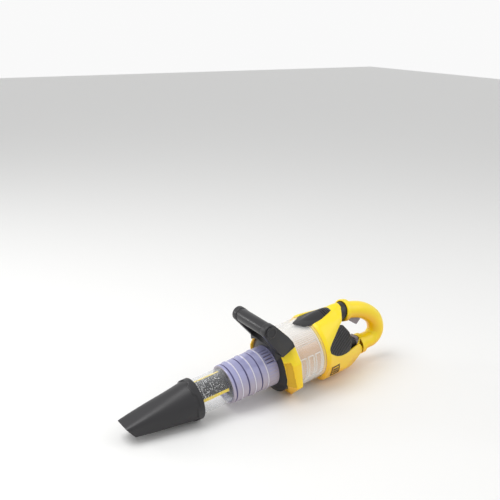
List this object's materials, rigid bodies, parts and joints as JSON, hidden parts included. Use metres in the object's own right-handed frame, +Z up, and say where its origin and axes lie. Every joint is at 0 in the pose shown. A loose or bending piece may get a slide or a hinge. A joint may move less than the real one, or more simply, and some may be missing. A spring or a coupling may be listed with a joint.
{
  "type": "toy garden blower",
  "caption": "Hand-held battery toy leaf blower: tapered nozzle, clear bead tube, stepped sleeve, D handle, clear motor window and closed rear grip with a trigger",
  "frame": {"origin": "centre of the bounding box's footprint, on the plane that the tool rests on", "axes": "X runs along the tool from the nozzle to the rear handle, Y runs across it to its left side, Z points up; the duct rises 7.45 degrees towards the handle"},
  "size_m": [0.521, 0.118, 0.1522],
  "materials": {
    "black": "matte moulded plastic with a fine grain",
    "black_textured": "rubbery grip plastic with raised ribs",
    "yellow": "glossy bright yellow plastic",
    "lilac": "glossy silver-lilac plastic",
    "pale": "glossy pale plastic",
    "grey": "satin warm grey plastic",
    "cream": "glossy cream plastic",
    "brown": "printed brown plastic panel",
    "clear": "clear moulded plastic",
    "white": "white plastic",
    "liner": "black plastic with pale specks",
    "metal_can": "plain bright metal",
    "steel": "zinc-plated steel"
  },
  "bodies": {
    "tool": {"clear_tube": "clear", "tube_liner": "liner", "beads": "white", "sleeve_rim": "pale", "sleeve": "lilac", "fan_guard": "black", "motor": "metal_can", "motor_mount": "black", "collar": "black", "front_handle": "black", "grip_bar": "black_textured", "grip_caps": "black", "cowl": "yellow", "clear_housing": "clear", "works_casing": "cream", "body_right": "yellow", "body_left": "yellow", "core": "black", "pad_right": "black_textured", "pad_left": "black_textured", "vent_block": "black", "label_plate": "brown", "battery_box": "black", "batteries": "metal_can", "battery_springs": "steel", "switch_contact": "grey", "root_insert": "black", "handle_right": "yellow", "handle_left": "yellow", "lower_bracket": "grey", "bracket_screw": "steel", "trigger_pin": "steel", "trigger_spring": "steel", "trigger_switch": "grey", "body_screws": "steel"},
    "nozzle": {"nozzle": "black"},
    "fan": {"fan": "white", "fan_shaft": "steel"},
    "trigger": {"trigger": "grey"},
    "top_switch": {"top_switch": "black"},
    "battery_door": {"battery_door": "yellow", "door_screw": "steel"}
  },
  "joints": [
    {"name": "nozzle_twist", "type": "hinge", "parent": "tool", "child": "nozzle", "pos_m": [-0.18771, 0, 0.02815], "axis": [0.9916, 0, 0.1297], "range_deg": [0, 35]},
    {"name": "fan_spin", "type": "hinge", "parent": "tool", "child": "fan", "pos_m": [-0.01914, 0, 0.0502], "axis": [0.9916, 0, 0.1297], "continuous": true},
    {"name": "trigger_pull", "type": "hinge", "parent": "tool", "child": "trigger", "pos_m": [0.17518, 0, 0.10664], "axis": [0, -1, 0], "range_deg": [0, 10], "stiffness_Nm_per_rad": 0.5, "springref_deg": -6.88, "deforming": ["trigger_spring"]},
    {"name": "top_switch_slide", "type": "slide", "parent": "tool", "child": "top_switch", "axis": [-0.9916, 0, -0.1297], "range_m": [0, 0.005]},
    {"name": "battery_door_off", "type": "slide", "parent": "tool", "child": "battery_door", "axis": [0.1297, 0, -0.9916], "range_m": [0, 0.02]}
  ]
}
